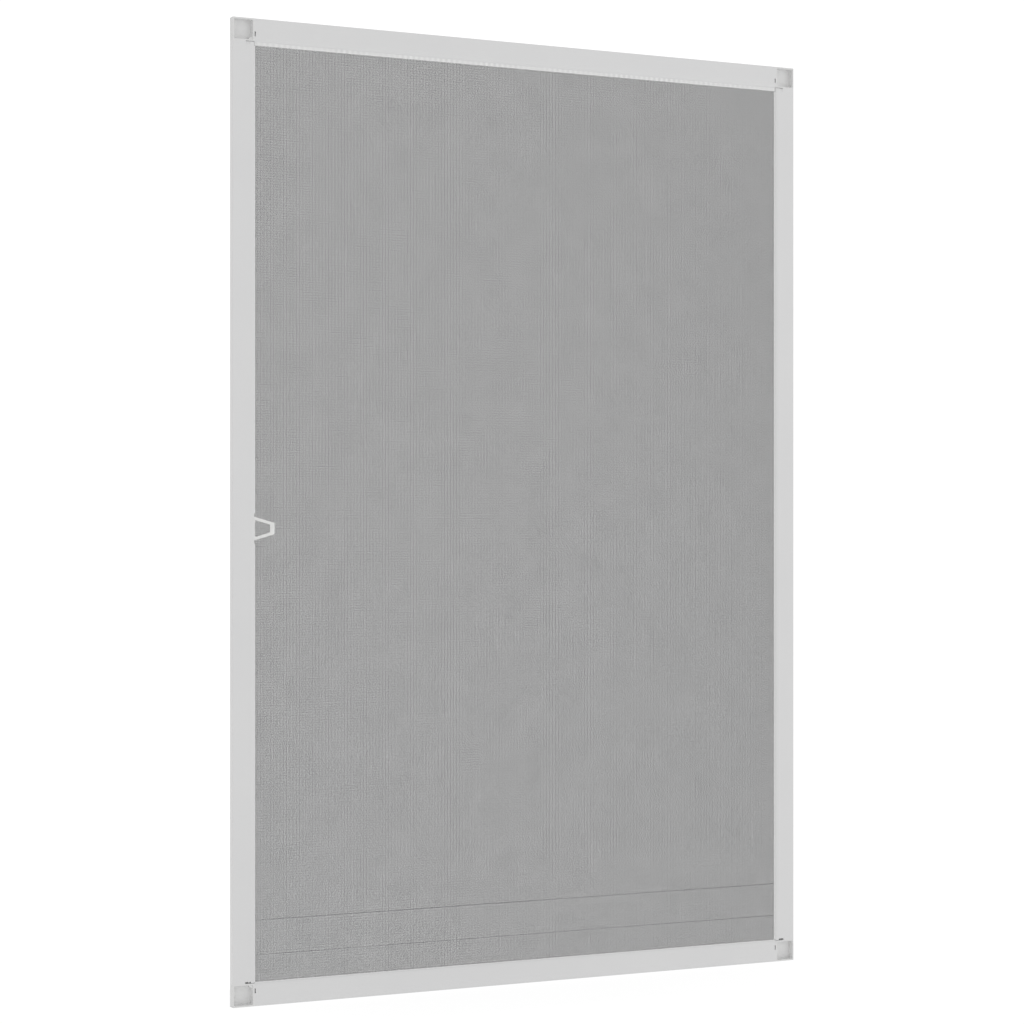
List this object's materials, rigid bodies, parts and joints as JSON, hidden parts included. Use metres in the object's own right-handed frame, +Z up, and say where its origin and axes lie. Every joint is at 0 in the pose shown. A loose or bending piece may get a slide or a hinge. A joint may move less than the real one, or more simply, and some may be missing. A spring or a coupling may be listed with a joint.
{
  "type": "window screen frame",
  "caption": "Flat rectangular insect screen for a window: hollow aluminium rails joined by moulded corners, a stretched mesh held in a slot by strips, and a small pull tab.",
  "frame": {"origin": "middle of the frame's bottom edge, halfway through its depth", "axes": "+X along the width to the right as seen from the outer face, +Y through the depth towards the window, +Z up"},
  "size_m": [0.8, 0.01, 1.2],
  "materials": {
    "painted_rail": "satin",
    "moulded_corner": "matte",
    "mesh_strip": "matte",
    "grey_mesh": "matte",
    "soft_tab": "matte"
  },
  "bodies": {
    "root": {"rail_top": "painted_rail", "rail_bottom": "painted_rail", "rail_left": "painted_rail", "rail_right": "painted_rail", "corner_top_left": "moulded_corner", "corner_top_right": "moulded_corner", "corner_bottom_left": "moulded_corner", "corner_bottom_right": "moulded_corner", "strip_top": "mesh_strip", "strip_bottom": "mesh_strip", "strip_left_lower": "mesh_strip", "strip_left_upper": "mesh_strip", "strip_right": "mesh_strip", "insect_mesh": "grey_mesh", "pull_tab": "soft_tab"}
  },
  "joints": []
}
